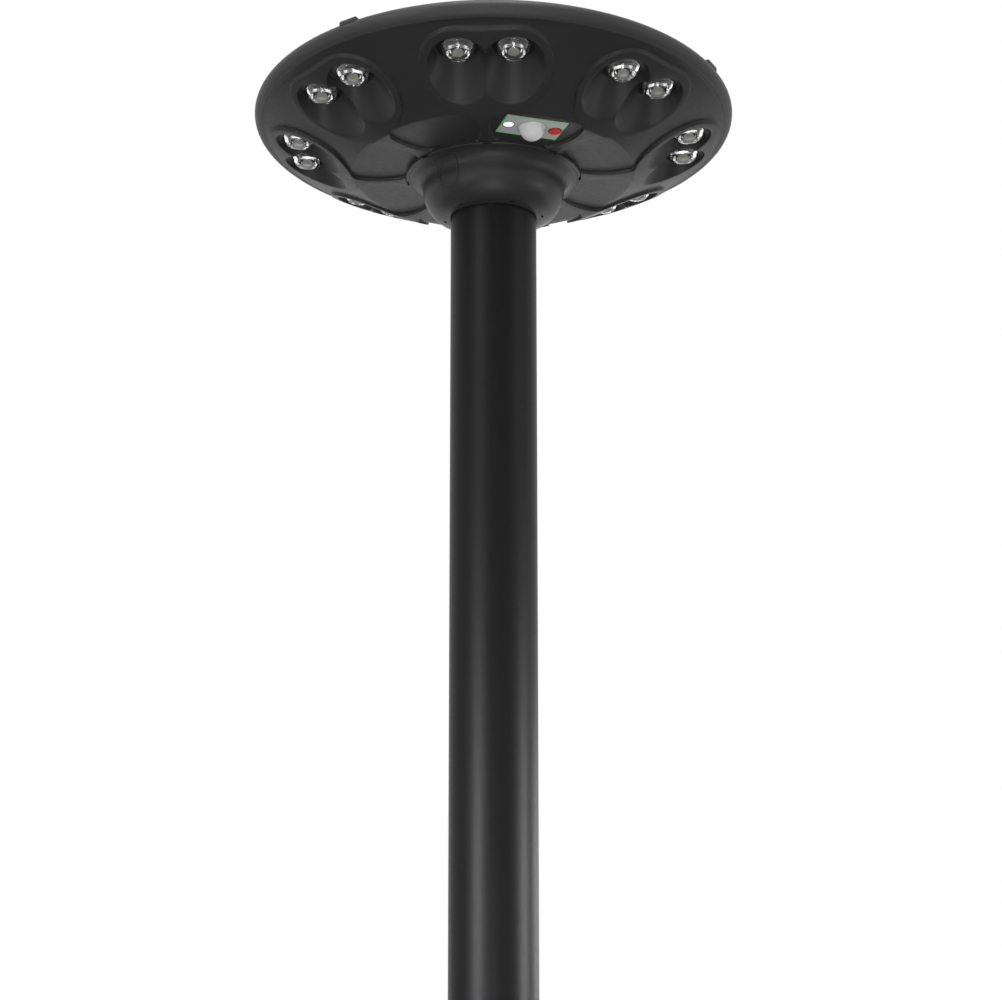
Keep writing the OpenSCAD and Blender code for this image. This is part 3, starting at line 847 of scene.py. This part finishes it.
def make_stud(bm, place):
    """Threaded stud in slot 1."""
    root = STUD_R - THREAD_D
    profile, z = [(0, STUD_FOOT), (root, STUD_FOOT)], BASE_T
    while z < STUD_TOP - THREAD_PITCH:
        profile += [(root, z), (STUD_R, z + THREAD_PITCH / 2)]
        z += THREAD_PITCH
    profile += [(root, z), (root - STUD_TIP, STUD_TOP), (0, STUD_TOP)]
    lathe(bm, profile, place, STUD_SEGMENTS, 1)


def make_anchor_bolts(zinc, steel):
    bm = bmesh.new()
    for sx in (-1, 1):
        for sy in (-1, 1):
            place = shift(sx * ANCHOR, sy * ANCHOR)
            make_washer(bm, place)
            make_nut(bm, place @ turn_z(NUT_TURNS[0] * sx + NUT_TURNS[1] * sy))
            make_stud(bm, place)
    add_piece("anchor_bolts", bm, zinc, steel, lift=0, sharp=25)


def bead(bm, points, us, vs, leg=BEAD_LEG):
    """Rippled fillet weld along points, with its legs along the directions us and vs."""
    angles = [math.radians(a) for a in BEAD_ANGLES]
    travelled, rings = 0.0, []
    for k, point in enumerate(points):
        travelled += (points[k] - points[k - 1]).length if k else 0
        wave = 1 + RIPPLE * abs(math.sin(math.pi * travelled / RIPPLE_W))
        ring = [bm.verts.new(point)]
        for a in angles:
            reach = leg * wave * (0.5 + 0.5 / (math.cos(a) + math.sin(a)))
            ring.append(bm.verts.new(point + us[k] * reach * math.cos(a)
                                     + vs[k] * reach * math.sin(a)))
        rings.append(ring)
    for low, high in zip(rings, rings[1:]):
        for i in range(len(low)):
            j = (i + 1) % len(low)
            bm.faces.new((low[i], low[j], high[j], high[i]))
    for ring in (rings[0], rings[-1]):
        bm.faces.new(ring)


def weld_ring(bm, turn):
    """Weld of a quarter of the pole's foot, between two gussets."""
    clear = math.degrees(math.asin((GUSSET_T / 2 + BEAD_LEG * 0.5) / POLE_R))
    angles = np.radians(np.linspace(clear, 90 - clear, RING_BEADS))
    out = [turn @ Vector((math.cos(a), math.sin(a), 0)) for a in angles]
    bead(bm, [u * POLE_R + UP * BASE_T for u in out], out, [UP] * RING_BEADS)


def weld_gusset(bm, turn, side):
    """Welds of one side of a gusset, along the base plate and up the pole."""
    away, along = turn @ Vector((0, side, 0)), turn @ Vector((1, 0, 0))
    foot = [along * (POLE_R + t) + away * GUSSET_T / 2 + UP * BASE_T
            for t in np.linspace(FOOT_INSET, GUSSET_L - FOOT_INSET, FOOT_BEADS)]
    bead(bm, foot, [away] * FOOT_BEADS, [UP] * FOOT_BEADS)
    rise = [along * (POLE_R - RISE_SUNK) + away * GUSSET_T / 2 + UP * (BASE_T + t)
            for t in np.linspace(RISE_INSET, GUSSET_H - RISE_INSET, RISE_BEADS)]
    bead(bm, rise, [along] * RISE_BEADS, [away] * RISE_BEADS, RISE_LEG)


def make_welds(coat):
    bm = bmesh.new()
    for quarter in range(4):
        turn = turn_z(90 * quarter)
        weld_ring(bm, turn)
        for side in (-1, 1):
            weld_gusset(bm, turn, side)
    add_piece("weld_beads", bm, coat, lift=0)


# ---- Finishes ----

def dress(material, *names):
    """Gives a material to the CAD nodes whose names start so."""
    for name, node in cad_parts.items():
        if name.startswith(names):
            node.data.materials.clear()
            node.data.materials.append(material)


SEAM_ANGLE = 25                                  # seams flatter than this are shaded smoothly


def smooth_seams(*names):
    """Shades CAD nodes smoothly across the seams between their faces."""
    tree = bpy.data.node_groups.new("smooth_seams", "GeometryNodeTree")
    for way in ("INPUT", "OUTPUT"):
        tree.interface.new_socket("Geometry", in_out=way, socket_type="NodeSocketGeometry")

    def add(kind, **values):
        node = tree.nodes.new(kind)
        for key, value in values.items():
            setattr(node, key, value)
        return node

    steps = [add("NodeGroupInput"), add("GeometryNodeMergeByDistance"),
             add("GeometryNodeRemoveAttribute"), add("GeometryNodeSetShadeSmooth", domain="FACE"),
             add("GeometryNodeSetShadeSmooth", domain="EDGE"), add("NodeGroupOutput")]
    for a, b in zip(steps, steps[1:]):
        tree.links.new(a.outputs[0], b.inputs[0])
    steps[1].inputs["Distance"].default_value = 0.01 * MM
    steps[2].inputs["Name"].default_value = "custom_normal"
    seam = add("GeometryNodeInputMeshEdgeAngle")
    flat = add("FunctionNodeCompare", operation="LESS_THAN")
    flat.inputs["B"].default_value = math.radians(SEAM_ANGLE)
    tree.links.new(seam.outputs["Unsigned Angle"], flat.inputs["A"])
    tree.links.new(flat.outputs["Result"], steps[4].inputs["Shade Smooth"])
    for name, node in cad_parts.items():
        if name.startswith(names):
            node.modifiers.new("smooth_seams", "NODES").node_group = tree


def build_head():
    make_housing(moulded_plastic("housing_plastic", 0.028, 0.42))
    # Painted light: the hub and access covers use the housing's black plastic made a little
    # lighter, which brightens the bowl as light would.
    dress(moulded_plastic("hub_plastic_painted_light", 0.03, 0.4), "hub_", "access_")
    smooth_seams("hub_", "access_", "top_cover", "lens_bezels")
    # Painted light: the cover and clips use the housing's black plastic at about twice its tone,
    # which brightens the rim's edge as light would.
    dress(moulded_plastic("cover_plastic_painted_light", 0.055, 0.45), "top_cover", "rim_clip")
    dress(moulded_plastic("bezel_plastic", 0.012, 0.35), "lens_bezels")
    make_lenses(clear_plastic("lens_plastic"),
                tinted("led_board", 0.02, 0.04, Roughness=0.5),
                tinted("led_grey", (0.23, 0.23, 0.22), (0.3, 0.3, 0.29), 0.0012, Roughness=0.4),
                tinted("phosphor", (0.36, 0.28, 0.12), (0.44, 0.34, 0.15), 0.0006, Roughness=0.5))


def build_sensor():
    dress(tinted("plate_print_grey", 0.5, 0.56, 0.02, Roughness=0.4), "sensor_plate")
    make_plate_print(
        tinted("print_green", (0.11, 0.68, 0.12), (0.14, 0.76, 0.15), Roughness=0.4),
        tinted("print_black", 0.01, 0.016, Roughness=0.4))
    make_dome(tinted("frosted_white", 0.71, 0.77, 0.0012,
                     Roughness=0.3, Coat_Weight=0.35, Coat_Roughness=0.08))
    # Painted glow: the indicator window's white emission makes it brighter than the lamps alone
    # would, though nothing lights it.
    dress(tinted("indicator_white_painted_glow", 0.85, 0.9, Roughness=0.35,
                 Emission_Color=rgba(1.0), Emission_Strength=0.6), "indicator_window")
    dress(tinted("button_red", (0.68, 0.014, 0.014), (0.76, 0.02, 0.02), Roughness=0.5),
          "power_button")


def build_panel():
    dress(silicon_cells("silicon"), "solar_cells")
    dress(clear_plastic("panel_glass_clear", 0.0, 0.08), "panel_glass")
    make_busbars(tinted("silver_ink", 0.6, 0.7, 0.002, Metallic=1.0, Roughness=0.3))


def build_pole():
    coat = powder_coat("powder_coat", 0.003, 0.42)
    dress(coat, "pole", "base_")
    make_anchor_bolts(tinted("zinc", 0.5, 0.62, 0.003, Metallic=1.0, Roughness=0.35),
                      tinted("stud_steel", 0.35, 0.5, 0.002, Metallic=1.0, Roughness=0.4))
    make_welds(coat)


# ---- Stage ----

FLOOR_RADIUS, FLOOR_SEGMENTS = 4.0, 128
FLOOR_FADE = (0.5, 2.6)                          # radii between which the floor turns white
FLOOR_LIFT = 0.5                                 # paleness added to the lit floor


def floor_material():
    """Pale floor with the object's shadow. It fades to white for the camera and through glass."""
    s = Shader("floor_pale", Roughness=0.6)
    s.set("Base Color", s.mix(s.noise(0.5), rgba(0.78), rgba(0.82)))
    path = s.node("LightPath").outputs
    seen = s.node("Math", {0: path["Is Camera Ray"], 1: path["Is Transmission Ray"]},
                  operation="MAXIMUM").outputs[0]
    radius = s.node("VectorMath", {0: s.place}, operation="LENGTH").outputs["Value"]
    fade = s.node("MapRange", {"Value": radius, "From Min": FLOOR_FADE[0],
                               "From Max": FLOOR_FADE[1]}, interpolation_type="SMOOTHSTEP")
    fade = s.node("Math", {0: fade.outputs["Result"], 1: seen}, operation="MULTIPLY").outputs[0]
    lift = s.node("Math", {0: seen, 1: FLOOR_LIFT}, operation="MULTIPLY").outputs[0]
    pale = s.node("AddShader", {0: s.bsdf.outputs[0],
                                1: s.node("Emission", {"Strength": lift}).outputs[0]}).outputs[0]
    white = s.node("Emission", {"Strength": 1.0}).outputs[0]
    mixed = s.node("MixShader", {0: fade, 1: pale, 2: white}).outputs[0]
    s.tree.links.new(mixed, s.tree.nodes["Material Output"].inputs["Surface"])
    return s.mat


def make_floor():
    bm = bmesh.new()
    bmesh.ops.create_circle(bm, cap_ends=True, segments=FLOOR_SEGMENTS, radius=FLOOR_RADIUS)
    mesh = bpy.data.meshes.new("floor")
    bm.to_mesh(mesh)
    bm.free()
    floor = bpy.data.objects.new("floor", mesh)
    bpy.context.scene.collection.objects.link(floor)
    mesh.materials.append(floor_material())


bpy.context.scene.view_settings.view_transform = "Standard"
make_camera()
make_lights()
make_world()
make_floor()
build_head()
build_sensor()
build_panel()
build_pole()
